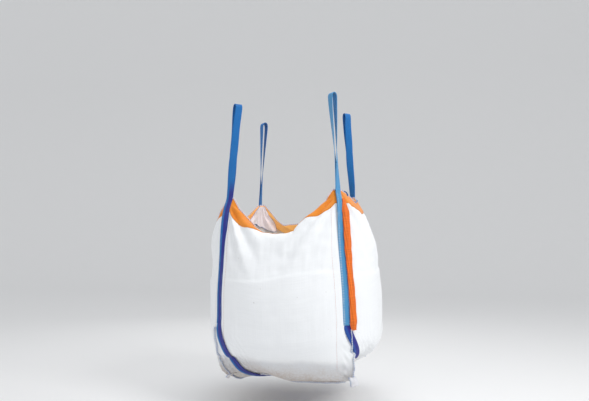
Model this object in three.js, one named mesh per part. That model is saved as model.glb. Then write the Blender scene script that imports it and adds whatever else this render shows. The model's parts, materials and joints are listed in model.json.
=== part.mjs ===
import * as THREE from 'three';

/*
 * Filled bulk bag, hanging open-topped from its four webbing loops.
 *
 * Frame: millimetres, +Z up, the front panel faces -Y and the right panel faces +X.
 * The origin is the lifting point, midway between the crowns of the four loops.
 *
 * The bag wall is one lofted surface, wall(turn, station):
 *   turn     runs once round the bag, 0 to 4, with the corner straps on the whole numbers
 *            (0 front left, 1 front right, 2 back right, 3 back left);
 *   station  runs up the wall, 0 under the middle of the base and 12 on the top edge.
 */

// Driving dimensions, mm
const CLOTH = 4; // a panel's cloth with its seam allowance
const WEBBING_WIDTH = 50;
const WEBBING_THICKNESS = 3.5;
const LOOP_SQUARE = 323; // a loop's crown stands this far from both centre planes
const LOOP_HALF_GAP = 34; // half the space between a loop's legs at its crown
const PIVOT_RISE = 18; // a loop starts this far above the top end of its corner strap
const LEAN = 0.065; // the upper part hangs askew: height gained for each mm towards +X
const SWAY = 16; // and the base hangs this far towards +X of the loops
const HANG_LEVELS = [-1750, -850]; // below the first all of the sway, above the second all of the lean
const CORNER_ROUND = 70; // reach of the rounding that a strap gives its corner
const STRAP_SEAT = 42; // a strapped corner has this much flat wall on each side
const SEAT = 34; // the wall lies flat this far each side of a sling
const BAND_DEPTH = 0.95; // depth of the coloured top band, in stations
const BAND_ROWS = 3;
const COLUMNS = 16; // facets across a panel, a whole number so that sewn layers share them
const SLING_START = 6.7; // station where a strap leaves its corner seam and becomes a sling
const TOP = 12; // station of the top edge
const FILL_LEVEL = 9.1; // station that the load reaches
const FILL_HEAP = 95; // how far the load rises in the middle
const LAYER_GAP = 0.8; // clearance between sewn layers
const STRAP_LIFT = 1.6; // clearance between a strap and the faceted wall under it
const SLING_LIFT = 11; // clearance between a sling and the dent that it lies in
const FIN_LIFT = 4; // clearance under a seam's standing edge
const LOAD_CLEARANCE = [80, 25]; // from the outside of the wall to the load, below and above
const LOAD_LEVEL = -1150; // height of the load at the wall
const BASE_SEAM = [2.6, 4.3]; // station of the seam round the base, at mid panel and at a corner
const BELLY_LEVEL = -1400; // height at which the wall starts to turn under
const BAND_THICKNESS = 2;
const HEM = { height: 8, thickness: 5 };
const CORNER_SEAM_HEIGHT = 14;
const BASE_SEAM_HEIGHT = 10;
const SEAM_THICKNESS = 2;
const TAIL = { width: 34, length: 58, thickness: 5 };
const TIE = { width: 9, thickness: 2.5, start: 31, reach: 36, drop: 36 };
const HANGING_STRIP = { turn: 1.064, top: 11.35, bottom: 6.45, offset: 24, width: 42, thickness: 14 };

// Distance from the centre planes and height, station by station: the corners from station 6 up,
// and below that for each corner
const CORNER_LINE = [
  [436, -1560], [430, -1420], [427, -1270], [417, -1100], [402, -920], [380, -748], [356, -650],
];
const CORNER_FEET = [
  [[0, -1845], [105, -1848], [220, -1860], [340, -1866], [438, -1822], [452, -1700]],
  [[0, -1845], [110, -1844], [235, -1848], [352, -1848], [432, -1832], [446, -1700]],
  [[0, -1845], [105, -1840], [215, -1832], [325, -1810], [412, -1755], [442, -1665]],
  [[0, -1845], [105, -1850], [215, -1858], [328, -1853], [418, -1806], [442, -1690]],
];
// The middles of the panels
const BELLY = [
  [0, -1845], [110, -1846], [230, -1846], [345, -1836], [440, -1785], [510, -1690], [555, -1570],
  [578, -1440], [582, -1310],
];
const FACE_LINES = [
  [...BELLY, [568, -1180], [528, -1040], [466, -930], [404, -886]],
  [
    [0, -1845], [125, -1825], [255, -1790], [375, -1745], [470, -1700], [545, -1650], [583, -1570],
    [586, -1440], [588, -1310], [580, -1170], [560, -1020], [500, -850], [425, -715],
  ],
  [...BELLY, [568, -1190], [540, -1075], [498, -935], [405, -815]],
  [...BELLY, [580, -1190], [573, -1075], [562, -945], [540, -835]],
];
// Where between middle and ear each panel starts to rise to its two ears and how sharply, at
// station 11 and at the top edge
const RISE = [
  [[[0, 1.8], [0, 1.8]], [[0, 1.3], [0, 1.3]]],
  [[[0, 1.5], [0, 1.5]], [[0, 1.5], [0, 1.5]]],
  [[[0, 1.8], [0.3, 1.4]], [[0, 1.8], [0.56, 1.15]]],
  [[[0, 2], [0, 3]], [[0, 1.5], [0, 1.5]]],
];
// The slings' own line under the bag, which they press into the cloth
const SLING_LINE = [[0, -1842], [95, -1838], [195, -1832], [285, -1812], [362, -1768], [422, -1681]];
// Each sling leaves its corner seams sideways, by this part of a turn
const SLING_SHIFT = [0.105, 0.115, 0.13, 0.07];
// How far the dent of a sling reaches on the side of its corner, and on the other side
const DENT_REACH = [[150, 200], [110, 200], [100, 170], [110, 170]];

const CORNERS = ['front_left', 'front_right', 'back_right', 'back_left'];
const SIDES = ['front', 'right', 'back', 'left'];

const LOOKS = {
  cloth: { color: 0xeef0f3, roughness: 0.75, metalness: 0 },
  base: { color: 0xcfcdc8, roughness: 0.8, metalness: 0 },
  band: { color: 0xf28a2a, roughness: 0.7, metalness: 0 },
  webbing: { color: 0x1f6fb5, roughness: 0.65, metalness: 0 },
  seam: { color: 0xdfe6f2, roughness: 0.8, metalness: 0 },
  strip: { color: 0xf06a2a, roughness: 0.7, metalness: 0 },
  load: { color: 0xb59a72, roughness: 0.95, metalness: 0 },
};

const bag = new THREE.Group();

function add(name, geometry, look) {
  const mesh = new THREE.Mesh(geometry, new THREE.MeshStandardMaterial(LOOKS[look]));
  mesh.name = name;
  bag.add(mesh);
}

// ---- small helpers ----

const clamp01 = (value) => Math.min(1, Math.max(0, value));
const mix = (a, b, share) => a + (b - a) * share;
const ease = (value) => clamp01(value) ** 2 * (3 - 2 * clamp01(value));
const bell = (distance, reach) => Math.exp(-((distance / reach) ** 2));

function spline(points) {
  const curve = new THREE.SplineCurve(points.map(([x, y]) => new THREE.Vector2(x, y)));
  return (station) => curve.getPoint(clamp01(station / (points.length - 1)));
}

// Unit vectors of a corner: outward along its diagonal, and round the bag
function cornerFrame(corner) {
  const angle = (-135 + 90 * corner) * (Math.PI / 180);
  return {
    out: new THREE.Vector3(Math.cos(angle), Math.sin(angle), 0),
    along: new THREE.Vector3(-Math.sin(angle), Math.cos(angle), 0),
  };
}

// ---- the wall of the bag ----

const cornerLines = CORNER_FEET.map((foot) => spline([...foot, ...CORNER_LINE]));
const faceLines = FACE_LINES.map(spline);
const slingLine = spline(SLING_LINE);

// Station of the seam between base and panels
function baseSeam(turn) {
  const across = Math.abs(2 * (turn - Math.floor(turn)) - 1);
  return mix(...BASE_SEAM, across ** 3);
}

// Turn of a sling, which starts on its corner
function slingTurn(corner, station) {
  const away = ease((SLING_START - station) / 1.9);
  return corner + SLING_SHIFT[corner % 4] * away;
}

// A point given by its side of the bag, its place along that side, its distance out and its height
function onSide(side, along, out, height) {
  const facing = (-90 + 90 * side) * (Math.PI / 180);
  return new THREE.Vector3(
    Math.cos(facing) * out - Math.sin(facing) * along,
    Math.sin(facing) * out + Math.cos(facing) * along,
    height,
  );
}

// The bag's shape as the load alone would give it
function looseWall(turn, station) {
  const wrapped = ((turn % 4) + 4) % 4;
  const side = Math.min(3, Math.floor(wrapped));
  const across = 2 * (wrapped - side) - 1;
  const corner = cornerLines[Math.round(wrapped) % 4](station);
  const face = faceLines[side](station);

  // the strap rounds its corner, down to where it becomes a sling
  const strapped = ease((station - 5) / 2);
  const round = CORNER_ROUND * strapped;
  const half = corner.x + round / 4;
  const toCorner = (1 - Math.abs(across)) * half;
  const pull = round > 0 ? 0.354 * round * Math.max(0, 1 - toCorner / round) ** 2 : 0;
  const reach = Math.min(1, (Math.abs(across) * half) / (half - STRAP_SEAT * strapped + 1e-6));
  const [atBand, atRim] = RISE[side][across < 0 ? 0 : 1];
  const [band, rim] = [ease((station - 9.7) / 1.3), ease(station - 11)];
  const start = mix(atBand[0] * band, atRim[0], rim);
  const power = mix(mix(2, atBand[1], band), atRim[1], rim);
  const lifted = clamp01((reach - start) / (1 - start)) ** power;
  const along = across * half - Math.sign(across) * pull * Math.SQRT1_2;
  const out = mix(half, face.x, 1 - reach ** 2.6) - pull * Math.SQRT1_2;
  return onSide(side, along, out, mix(face.y, corner.y, lifted));
}

// The bag's outer surface, with the dents of the slings, moved out by offset
function wall(turn, station, offset = 0) {
  const point = looseWall(turn, station);
  if (station < SLING_START) {
    const dent = new THREE.Vector3();
    let total = 0;
    for (let corner = 0; corner < 4; corner += 1) {
      const at = slingTurn(corner, station);
      const under = looseWall(at, station);
      const beyond = (turn - at + 10) % 4 > 2;
      const share = 1 - ease((point.distanceTo(under) - SEAT) / DENT_REACH[corner][beyond ? 1 : 0]);
      dent.addScaledVector(slingPoint(corner, station).sub(under), share);
      total += share;
    }
    point.addScaledVector(dent, 1 / Math.max(1, total));
  }
  return point.add(outward(point).multiplyScalar(offset));
}

// Where a sling's inner face lies
function slingPoint(corner, station) {
  const turn = slingTurn(corner, station);
  const across = 2 * (turn - corner) - 1;
  const { x: out, y: height } = slingLine(Math.min(station, 5));
  const pressed = onSide(corner, across * out, out, height);
  return pressed.lerp(looseWall(turn, station), ease(station - 5));
}

// Outward direction: level on the upper wall, and turning down under the belly
function outward(point) {
  return new THREE.Vector3(point.x, point.y, Math.min(0, point.z - BELLY_LEVEL)).normalize();
}

// The upper part leans, and the belly swings a little towards +X
function hang(point) {
  const [low, high] = HANG_LEVELS;
  const upper = ease((point.z - low) / (high - low));
  const across = point.x + SWAY * (1 - upper);
  return new THREE.Vector3(across, point.y, point.z + LEAN * point.x * upper);
}

// ---- closed bodies ----

function closedGeometry(points, triangles) {
  const geometry = new THREE.BufferGeometry();
  const flat = points.map(hang).flatMap((p) => [p.x, p.y, p.z]);
  geometry.setAttribute('position', new THREE.Float32BufferAttribute(flat, 3));
  geometry.setIndex(triangles);
  geometry.computeVertexNormals();
  return geometry;
}

// A thick sheet between two grids of points: near(i, j) faces out of the bag, far(i, j) faces in.
// A crossed sheet has its squares split along the lines to its corners, where the slings lie.
function sheet(columns, rows, near, far, crossed = false) {
  const points = [];
  for (const face of [near, far]) {
    for (let j = 0; j <= rows; j += 1) {
      for (let i = 0; i <= columns; i += 1) points.push(face(i / columns, j / rows));
    }
  }
  const at = (layer, i, j) => (layer * (rows + 1) + j) * (columns + 1) + i;
  const triangles = [];
  const quad = (a, b, c, d) => triangles.push(a, b, c, a, c, d);
  for (let j = 0; j < rows; j += 1) {
    for (let i = 0; i < columns; i += 1) {
      const turned = crossed && (2 * i + 1 - columns) * (2 * j + 1 - rows) < 0;
      const square = (layer) => {
        const [a, b] = [at(layer, i, j), at(layer, i + 1, j)];
        const [c, d] = [at(layer, i + 1, j + 1), at(layer, i, j + 1)];
        return turned ? [b, c, d, a] : [a, b, c, d];
      };
      quad(...square(0));
      const [a, b, c, d] = square(1);
      quad(a, d, c, b);
    }
  }
  for (let i = 0; i < columns; i += 1) {
    quad(at(1, i, 0), at(1, i + 1, 0), at(0, i + 1, 0), at(0, i, 0));
    quad(at(0, i, rows), at(0, i + 1, rows), at(1, i + 1, rows), at(1, i, rows));
  }
  for (let j = 0; j < rows; j += 1) {
    quad(at(0, 0, j), at(0, 0, j + 1), at(1, 0, j + 1), at(1, 0, j));
    quad(at(1, columns, j), at(1, columns, j + 1), at(0, columns, j + 1), at(0, columns, j));
  }
  return closedGeometry(points, triangles);
}

// A strip swept through sections of { centre, side, face }: side is half its width, face half its
// thickness, both as vectors
function strip(sections) {
  const points = sections.flatMap(({ centre, side, face }) => [
    centre.clone().sub(side).sub(face),
    centre.clone().add(side).sub(face),
    centre.clone().add(side).add(face),
    centre.clone().sub(side).add(face),
  ]);
  const triangles = [0, 2, 1, 0, 3, 2];
  for (let section = 0; section < sections.length - 1; section += 1) {
    for (let edge = 0; edge < 4; edge += 1) {
      const a = 4 * section + edge;
      const b = 4 * section + ((edge + 1) % 4);
      triangles.push(a, b, b + 4, a, b + 4, a + 4);
    }
  }
  const last = 4 * (sections.length - 1);
  triangles.push(last, last + 1, last + 2, last, last + 2, last + 3);
  return closedGeometry(points, triangles);
}

// Sections of a strip along a path, with its side vector given at each point
function sweep(path, sideAt, width, thickness) {
  return path.map((centre, index) => {
    const before = path[Math.max(0, index - 1)];
    const after = path[Math.min(path.length - 1, index + 1)];
    const forward = after.clone().sub(before).normalize();
    const side = sideAt(index, centre).clone();
    side.addScaledVector(forward, -side.dot(forward)).normalize();
    const face = forward.clone().cross(side).normalize();
    return {
      centre,
      side: side.multiplyScalar(width / 2),
      face: face.multiplyScalar(thickness / 2),
    };
  });
}

const steps = (count, from, to) =>
  Array.from({ length: count + 1 }, (_, index) => mix(from, to, index / count));

// ---- panels, top band and inner ear patches ----

function makePanel(side) {
  const rows = 13;
  const bandFrom = TOP - BAND_DEPTH;
  const place = (u, v, offset) => {
    const row = v * (rows + BAND_ROWS);
    const low = baseSeam(side + u) + 0.04;
    const below = mix(low, bandFrom, row / rows);
    const behindBand = mix(bandFrom, TOP, (row - rows) / BAND_ROWS);
    return wall(side + mix(0.001, 0.999, u), row < rows ? below : behindBand, offset);
  };
  const outside = (u, v) => place(u, v, 0);
  const inside = (u, v) => place(u, v, -CLOTH);
  return sheet(COLUMNS, rows + BAND_ROWS, outside, inside);
}

function makeBase() {
  // a square grid, so that the sheet has no pole under the middle of the base
  const place = (u, v, offset) => {
    const x = 2 * u - 1;
    const y = 2 * v - 1;
    const ring = Math.max(Math.abs(x), Math.abs(y), 1e-6);
    const turn = squareTurn(x / ring, y / ring);
    return wall(turn, ring * (baseSeam(turn) - 0.04), offset);
  };
  const outside = (u, v) => place(v, u, 0);
  const inside = (u, v) => place(v, u, -CLOTH);
  return sheet(COLUMNS, COLUMNS, outside, inside, true);
}

// Turn round the bag of a point on the edge of the square from -1 to 1
function squareTurn(x, y) {
  if (y <= -1 + 1e-9) return 0.5 + x / 2;
  if (x >= 1 - 1e-9) return 1.5 + y / 2;
  if (y >= 1 - 1e-9) return 2.5 - x / 2;
  return 3.5 - y / 2;
}

function makeBand(side) {
  const place = (u, v, offset) => {
    const station = mix(TOP - BAND_DEPTH, TOP, v);
    return wall(side + mix(1 / COLUMNS, 1 - 1 / COLUMNS, u), station, offset);
  };
  const outside = (u, v) => place(u, v, LAYER_GAP + BAND_THICKNESS);
  const inside = (u, v) => place(u, v, LAYER_GAP);
  return sheet(COLUMNS - 2, BAND_ROWS, outside, inside);
}

function makeHem(side) {
  const turns = steps(COLUMNS - 2, side + 1 / COLUMNS, side + 1 - 1 / COLUMNS);
  const path = turns.map((turn) => wall(turn, TOP, -CLOTH / 2));
  const sections = sweep(path, () => new THREE.Vector3(0, 0, 1), HEM.height, HEM.thickness);
  const lift = 1 + (6 * LAYER_GAP) / HEM.height;
  for (const section of sections) section.centre.addScaledVector(section.side, lift);
  return strip(sections);
}

function makeEarPatch(corner) {
  const place = (u, v, offset) => {
    const station = mix(TOP - BAND_DEPTH, TOP, v);
    return wall(corner + mix(-2 / COLUMNS, 2 / COLUMNS, u), station, offset);
  };
  const near = -CLOTH - 2 * LAYER_GAP;
  const outside = (u, v) => place(u, v, near);
  const inside = (u, v) => place(u, v, near - BAND_THICKNESS);
  return sheet(4, BAND_ROWS, outside, inside);
}

// ---- corner straps, slings and loops ----

// Level direction across a strap or sling at a station
function acrossStrap(corner, station) {
  const turn = slingTurn(corner, station);
  const inner = Math.max(station, 0.4);
  const local = wall(turn + 0.02, inner).sub(wall(turn - 0.02, inner)).normalize();
  return cornerFrame(corner).along.lerp(local, ease((SLING_START - station) / 1.5));
}

function makeCornerStrap(corner) {
  const { along } = cornerFrame(corner);
  const lift = STRAP_LIFT + WEBBING_THICKNESS / 2;
  const path = steps(18, SLING_START + 0.05, TOP).map((station) => wall(corner, station, lift));
  return strip(sweep(path, () => along, WEBBING_WIDTH, WEBBING_THICKNESS));
}

// A sling runs from its corner strap, under the middle of the base, to the opposite corner
function makeSling(first, extraLift) {
  const halfway = (corner, hand) => steps(18, SLING_START, 0).map((station) => {
    const clear = mix(STRAP_LIFT, SLING_LIFT, ease(SLING_START - station));
    const lift = clear + WEBBING_THICKNESS / 2 + extraLift * bell(station, 1.6);
    return {
      point: wall(slingTurn(corner, station), station, lift),
      side: acrossStrap(corner, station).multiplyScalar(hand),
    };
  });
  const whole = [...halfway(first, 1), ...halfway(first + 2, -1).slice(0, -1).reverse()];
  const path = whole.map(({ point }) => point);
  return strip(sweep(path, (index) => whole[index].side, WEBBING_WIDTH, WEBBING_THICKNESS));
}

// Where a loop hinges on its corner, at mid thickness of its two sewn-together legs
function loopPivot(corner) {
  const lift = STRAP_LIFT + WEBBING_THICKNESS / 2;
  const top = wall(corner, TOP, lift);
  return top.setZ(top.z + PIVOT_RISE);
}

// One length of webbing from the ear, up one leg, over the crown and down the other leg. The legs
// lie face to face at the ear and make a quarter turn on their way up to the crown.
function makeLoop(corner) {
  const { out, along } = cornerFrame(corner);
  const foot = loopPivot(corner);
  const crown = out.clone().multiplyScalar(LOOP_SQUARE * Math.SQRT2);
  crown.z = -LOOP_HALF_GAP;
  const legGap = WEBBING_THICKNESS / 2 + 0.3;
  const path = [];
  const sides = [];
  const legSteps = 16;
  const put = (share, hand) => {
    const quarter = (Math.PI / 2) * ease(share * 1.1);
    const [cos, sin] = [Math.cos(quarter), Math.sin(quarter)];
    const apart = mix(legGap, LOOP_HALF_GAP, share ** 1.3);
    const away = out.clone().multiplyScalar(cos).addScaledVector(along, sin);
    const across = along.clone().multiplyScalar(cos).addScaledVector(out, -sin);
    path.push(foot.clone().lerp(crown, share).addScaledVector(away, hand * apart));
    sides.push(across);
  };
  for (const share of steps(legSteps, 0, 1)) put(share, 1);
  const crownSteps = 9;
  for (let step = 1; step < crownSteps; step += 1) {
    const angle = (Math.PI * step) / crownSteps;
    const point = crown.clone().addScaledVector(along, LOOP_HALF_GAP * Math.cos(angle));
    point.z += LOOP_HALF_GAP * Math.sin(angle);
    path.push(point);
    sides.push(out.clone().negate());
  }
  for (const share of steps(legSteps, 1, 0)) put(share, -1);
  return strip(sweep(path, (index) => sides[index], WEBBING_WIDTH, WEBBING_THICKNESS));
}

// ---- seams, tails, ties and the hanging strip ----

function makeSeamFin(turnAt, from, to, stationAt, count, height) {
  const lift = FIN_LIFT + height / 2;
  const path = steps(count, from, to).map((value) => wall(turnAt(value), stationAt(value), lift));
  return strip(sweep(path, (_, centre) => outward(centre), height, SEAM_THICKNESS));
}

function makeCornerSeam(corner) {
  const low = baseSeam(corner) + 0.15;
  return makeSeamFin(() => corner + 0.001, low, 5.5, (station) => station, 8, CORNER_SEAM_HEIGHT);
}

function makeBaseSeam(side) {
  const from = side + SLING_SHIFT[side] + 0.07;
  return makeSeamFin((turn) => turn, from, side + 0.97, baseSeam, 14, BASE_SEAM_HEIGHT);
}

// The folded end of the corner seam, left hanging under the base corner
function makeCornerTail(corner) {
  const root = wall(corner, baseSeam(corner), 16);
  const { out, along } = cornerFrame(corner);
  const path = steps(4, 0, 1).map((share) => {
    const point = root.clone().addScaledVector(out, 6 * share);
    return point.setZ(root.z - mix(6, TAIL.length, share));
  });
  return strip(sweep(path, () => along, TAIL.width, TAIL.thickness));
}

// A short tape beside the foot of a loop, on the side that hand gives
function makeTie(corner, hand) {
  const { out, along } = cornerFrame(corner);
  const root = wall(corner, TOP - 0.05, STRAP_LIFT + WEBBING_THICKNESS + 4);
  const path = steps(5, 0, 1).map((share) => {
    const point = root.clone().addScaledVector(along, hand * (TIE.start + TIE.reach * share));
    point.addScaledVector(out, mix(5, 19, share));
    return point.setZ(root.z - mix(2, TIE.drop, share ** 1.5));
  });
  return strip(sweep(path, () => out, TIE.width, TIE.thickness));
}

function makeHangingStrip() {
  const { turn, top, bottom, offset, width, thickness } = HANGING_STRIP;
  const path = steps(20, top, bottom).map((station) => wall(turn, station, offset));
  const side = new THREE.Vector3(0, 1, 0);
  return strip(sweep(path, () => side, width, thickness));
}

// ---- the load ----

function makeLoad() {
  const ringPoint = (u, v) => {
    const x = 2 * u - 1;
    const y = 2 * v - 1;
    const ring = Math.max(Math.abs(x), Math.abs(y), 1e-6);
    return { ring, turn: squareTurn(x / ring, y / ring) };
  };
  const inside = (turn, station) => {
    const clearance = mix(...LOAD_CLEARANCE, ease((station - 5) / 2));
    return wall(turn, station, -clearance);
  };
  const below = (u, v) => {
    const { ring, turn } = ringPoint(u, v);
    return inside(turn, ring * (FILL_LEVEL - 0.1));
  };
  const above = (u, v) => {
    const { ring, turn } = ringPoint(u, v);
    const edge = inside(turn, FILL_LEVEL);
    const height = mix(LOAD_LEVEL + FILL_HEAP, edge.z, ring ** 2);
    return new THREE.Vector3(edge.x * ring, edge.y * ring, height);
  };
  return sheet(COLUMNS, COLUMNS, (u, v) => below(v, u), (u, v) => above(v, u), true);
}

// ---- assembly ----

SIDES.forEach((name, side) => {
  add(`panel_${name}`, makePanel(side), 'cloth');
  add(`top_band_${name}`, makeBand(side), 'band');
  add(`top_hem_${name}`, makeHem(side), 'seam');
  add(`base_seam_${name}`, makeBaseSeam(side), 'seam');
});
add('base_panel', makeBase(), 'base');

CORNERS.forEach((name, corner) => {
  add(`corner_strap_${name}`, makeCornerStrap(corner), 'webbing');
  add(`loop_${name}`, makeLoop(corner), 'webbing');
  add(`ear_patch_${name}`, makeEarPatch(corner), 'cloth');
  add(`corner_seam_${name}`, makeCornerSeam(corner), 'seam');
  add(`corner_tail_${name}`, makeCornerTail(corner), 'seam');
});

add('base_sling_upper', makeSling(0, 0), 'webbing');
add('base_sling_lower', makeSling(1, WEBBING_THICKNESS + 8), 'webbing');
add('tie_front_right', makeTie(1, 1), 'webbing');
add('tie_back_left', makeTie(3, -1), 'webbing');
add('hanging_strip', makeHangingStrip(), 'strip');
add('load', makeLoad(), 'load');

export default bag;
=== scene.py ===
import json
import math

import bpy
import numpy as np
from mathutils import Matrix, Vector


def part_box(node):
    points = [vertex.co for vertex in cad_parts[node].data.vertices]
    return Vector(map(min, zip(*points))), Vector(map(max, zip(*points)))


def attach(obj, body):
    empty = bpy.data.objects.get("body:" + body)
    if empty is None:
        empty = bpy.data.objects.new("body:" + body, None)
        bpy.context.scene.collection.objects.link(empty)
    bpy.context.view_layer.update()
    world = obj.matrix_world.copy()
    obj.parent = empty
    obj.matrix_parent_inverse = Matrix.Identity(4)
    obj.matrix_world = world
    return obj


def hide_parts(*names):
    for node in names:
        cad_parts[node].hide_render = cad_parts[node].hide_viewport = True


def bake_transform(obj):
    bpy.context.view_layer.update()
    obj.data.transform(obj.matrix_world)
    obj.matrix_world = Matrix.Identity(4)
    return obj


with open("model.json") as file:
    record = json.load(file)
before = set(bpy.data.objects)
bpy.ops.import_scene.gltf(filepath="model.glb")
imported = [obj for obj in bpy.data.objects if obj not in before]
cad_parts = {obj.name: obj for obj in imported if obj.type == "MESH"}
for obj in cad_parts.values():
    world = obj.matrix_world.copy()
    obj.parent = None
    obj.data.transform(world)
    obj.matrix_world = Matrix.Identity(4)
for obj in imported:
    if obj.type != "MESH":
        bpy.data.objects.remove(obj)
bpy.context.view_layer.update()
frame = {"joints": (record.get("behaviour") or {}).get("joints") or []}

# Filled bulk bag, metres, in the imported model's frame: +Z up, front panel at -Y, lifting point at
# the origin. The cloth is the surface skin(turn, station): turn runs once round the bag from 0 to 4
# with the corner straps on the whole numbers, and station runs from 0 under the middle of the base
# to 12 on the top edge.

CORNERS = ["front_left", "front_right", "back_right", "back_left"]
SIDES = ["front", "right", "back", "left"]

LEAN = 0.065  # height gained for each metre towards +X, because the bag hangs askew
SWAY = 0.016  # how far the base hangs towards +X
FLOOR = -2.02
TOP = 12.0
BAND_DEPTH = 0.088
SLING_START = 6.7  # station where a strap leaves its corner seam and becomes a sling
BASE_SEAM = (2.6, 3.75)  # station of the seam round the base, at mid panel and at a corner
CORNER_ROUND = 0.07
CORNER_PULL = 0.354  # how far a corner is drawn in, as a part of its rounding
BULGE = 2.6  # power of the curve across a panel
STRAP_SEAT = 0.042  # half width of the cloth held flat under a strap, and under a sling
SEAT = 0.034
EAR = (0.362, -0.655)  # an ear's distance from the centre planes, and its height
FILL_HEIGHT = -1.175  # where the contents stop and the slack cloth begins
FILL_STATION = 9.0
LOOP_SQUARE = 0.323
LOOP_HALF_GAP = 0.02
STRIP_TWIST = 42.0  # radians for each metre
HEAP_RISE = 0.085  # from the contents' edge to the middle of the heap
STONES = 900

CLOTH = 0.0016
BAND_CLOTH = 0.0012
LAYER_GAP = 0.0006
PANEL_COLUMNS, PANEL_ROWS = 113, 150
WEBBING_WIDTH = 0.05
WEBBING_THICKNESS = 0.003
THREAD = 0.0011
WINDING_STEPS = 8  # points in one winding of a thread
STITCH, STITCH_GAP = 0.011, 0.006
EDGE_THICKNESS = 0.0026
TAPE = 0.0026  # width of the tapes that the cloth is woven from
SHEEN_ROUGHNESS, SPECULAR = 0.45, 0.35
RIB, PICK, TWILL, RUNG = 0.0042, 0.0034, 0.006, 0.016  # repeats of the webbing's weave

# Distance from the centre planes and height, in mm, station by station: the corners from station 6
# up, and below that for each corner
CORNER_LINE = [(436, -1560), (430, -1420), (427, -1270), (417, -1100), (402, -920), (380, -748),
               (356, -650)]
CORNER_LINES = [foot + CORNER_LINE for foot in [
    [(0, -1845), (105, -1848), (220, -1862), (325, -1868), (392, -1812), (420, -1700)],
    [(0, -1845), (110, -1844), (235, -1846), (352, -1826), (428, -1785), (446, -1690)],
    [(0, -1845), (105, -1840), (215, -1832), (325, -1810), (412, -1755), (442, -1665)],
    [(0, -1845), (105, -1850), (215, -1858), (328, -1853), (418, -1806), (442, -1690)],
]]
# The middles of the panels
BELLY = [(0, -1845), (110, -1844), (230, -1842), (345, -1832), (440, -1780),
         (510, -1690), (555, -1570), (578, -1440), (582, -1310)]
FACE_LINES = [
    BELLY + [(568, -1180), (528, -1030), (462, -903), (370, -948)],
    [(0, -1845), (125, -1825), (255, -1790), (375, -1745), (470, -1700), (545, -1650),
     (583, -1570), (586, -1440), (588, -1310), (580, -1170), (560, -1020),
     (500, -850), (425, -715)],
    BELLY + [(568, -1190), (535, -1065), (490, -930), (425, -812)],
    [(0, -1845), (115, -1850), (240, -1856), (365, -1852), (468, -1806),
     (525, -1700)] + BELLY[6:] + [(580, -1190), (573, -1075), (562, -945), (540, -835)],
]
# Where between middle and ear each panel starts to rise to its two ears and how sharply, at
# station 11 and at the top edge
RISE = np.array([
    [[(0, 1.9), (0, 2.0)], [(0.28, 0.62), (0.25, 1.1)]],
    [[(0, 1.5), (0, 1.5)], [(0, 1.5), (0, 1.5)]],
    [[(0, 1.8), (0.3, 1.4)], [(0, 1.8), (0.56, 1.15)]],
    [[(0, 2.0), (0, 3.0)], [(0, 1.5), (0, 1.5)]],
])
SLING_LINE = [(0, -1842), (95, -1838), (195, -1832), (285, -1812), (362, -1768), (422, -1681)]
# Part of a turn that each strap lies beside its corner, and that its sling lies beside it
STRAP_SHIFT = np.array([0.045, -0.03, 0.0, 0.0])
SLING_SHIFT = np.array([0.105, 0.115, 0.13, 0.07])
# How far the dent of a sling reaches on the side of its corner, and on the other side
DENT_REACH = [(0.13, 0.27), (0.055, 0.2), (0.1, 0.17), (0.11, 0.17)]


# ---- camera, light and floor ----

def linked(name, data):
    """A new object in the scene."""
    made = bpy.data.objects.new(name, data)
    bpy.context.scene.collection.objects.link(made)
    return made


def make_stage():
    distance, height, turned, tilted = 4.26, -0.979, 13.0, 4.29
    angle = math.radians(turned)
    data = bpy.data.cameras.new("camera")
    data.sensor_width = 36
    data.lens = 36.92
    camera = linked("camera", data)
    camera.location = (distance * math.sin(angle), -distance * math.cos(angle), height)
    camera.rotation_euler = (math.radians(90 + tilted), 0, math.radians(turned + 0.066))
    bpy.context.scene.camera = camera

    world = bpy.data.worlds.new("studio")
    world.use_nodes = True
    background = world.node_tree.nodes["Background"]
    background.inputs["Color"].default_value = (0.965, 0.98, 1.0, 1)
    background.inputs["Strength"].default_value = 0.72
    bpy.context.scene.world = world
    bpy.context.scene.view_settings.view_transform = "Standard"

    for name, place, size, power in [
        ("key", (3.2, -2.0, 1.9), 1.6, 84),
        ("fill", (-3.6, -2.2, 0.4), 2.6, 8),
        ("top", (0.4, 0.2, 2.6), 2.0, 34),
        ("back", (-1.5, 3.6, 0.6), 2.6, 12),
    ]:
        lamp = bpy.data.lights.new(name, "AREA")
        lamp.size = size
        lamp.energy = power
        light = linked(name, lamp)
        light.location = place
        aim = Vector((0, 0, -1.2)) - Vector(place)
        light.rotation_euler = aim.to_track_quat("-Z", "Y").to_euler()

    bend = np.linspace(0, math.pi / 2, 24)
    curve = [(9 + 7 * math.sin(a), 7 - 7 * math.cos(a)) for a in bend]
    profile = [(-12.0, 0.0)] + curve + [(16.0, 26.0)]
    rows = np.array([[(x, y, z + FLOOR) for x in (-34.0, 34.0)] for y, z in profile])
    floor = new_object("floor", rows, grid_faces(len(rows), 2))
    floor.data.materials.append(new_material("pale_floor", (0.86, 0.86, 0.86), 0.9)[0])


# ---- numbers ----

def mix(a, b, share):
    return a + (b - a) * share


def ease(value):
    value = np.clip(value, 0, 1)
    return value * value * (3 - 2 * value)


def bell(distance, reach):
    return np.exp(-((distance / reach) ** 2))


def unit(vectors):
    return vectors / np.maximum(np.linalg.norm(vectors, axis=-1, keepdims=True), 1e-9)


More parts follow.
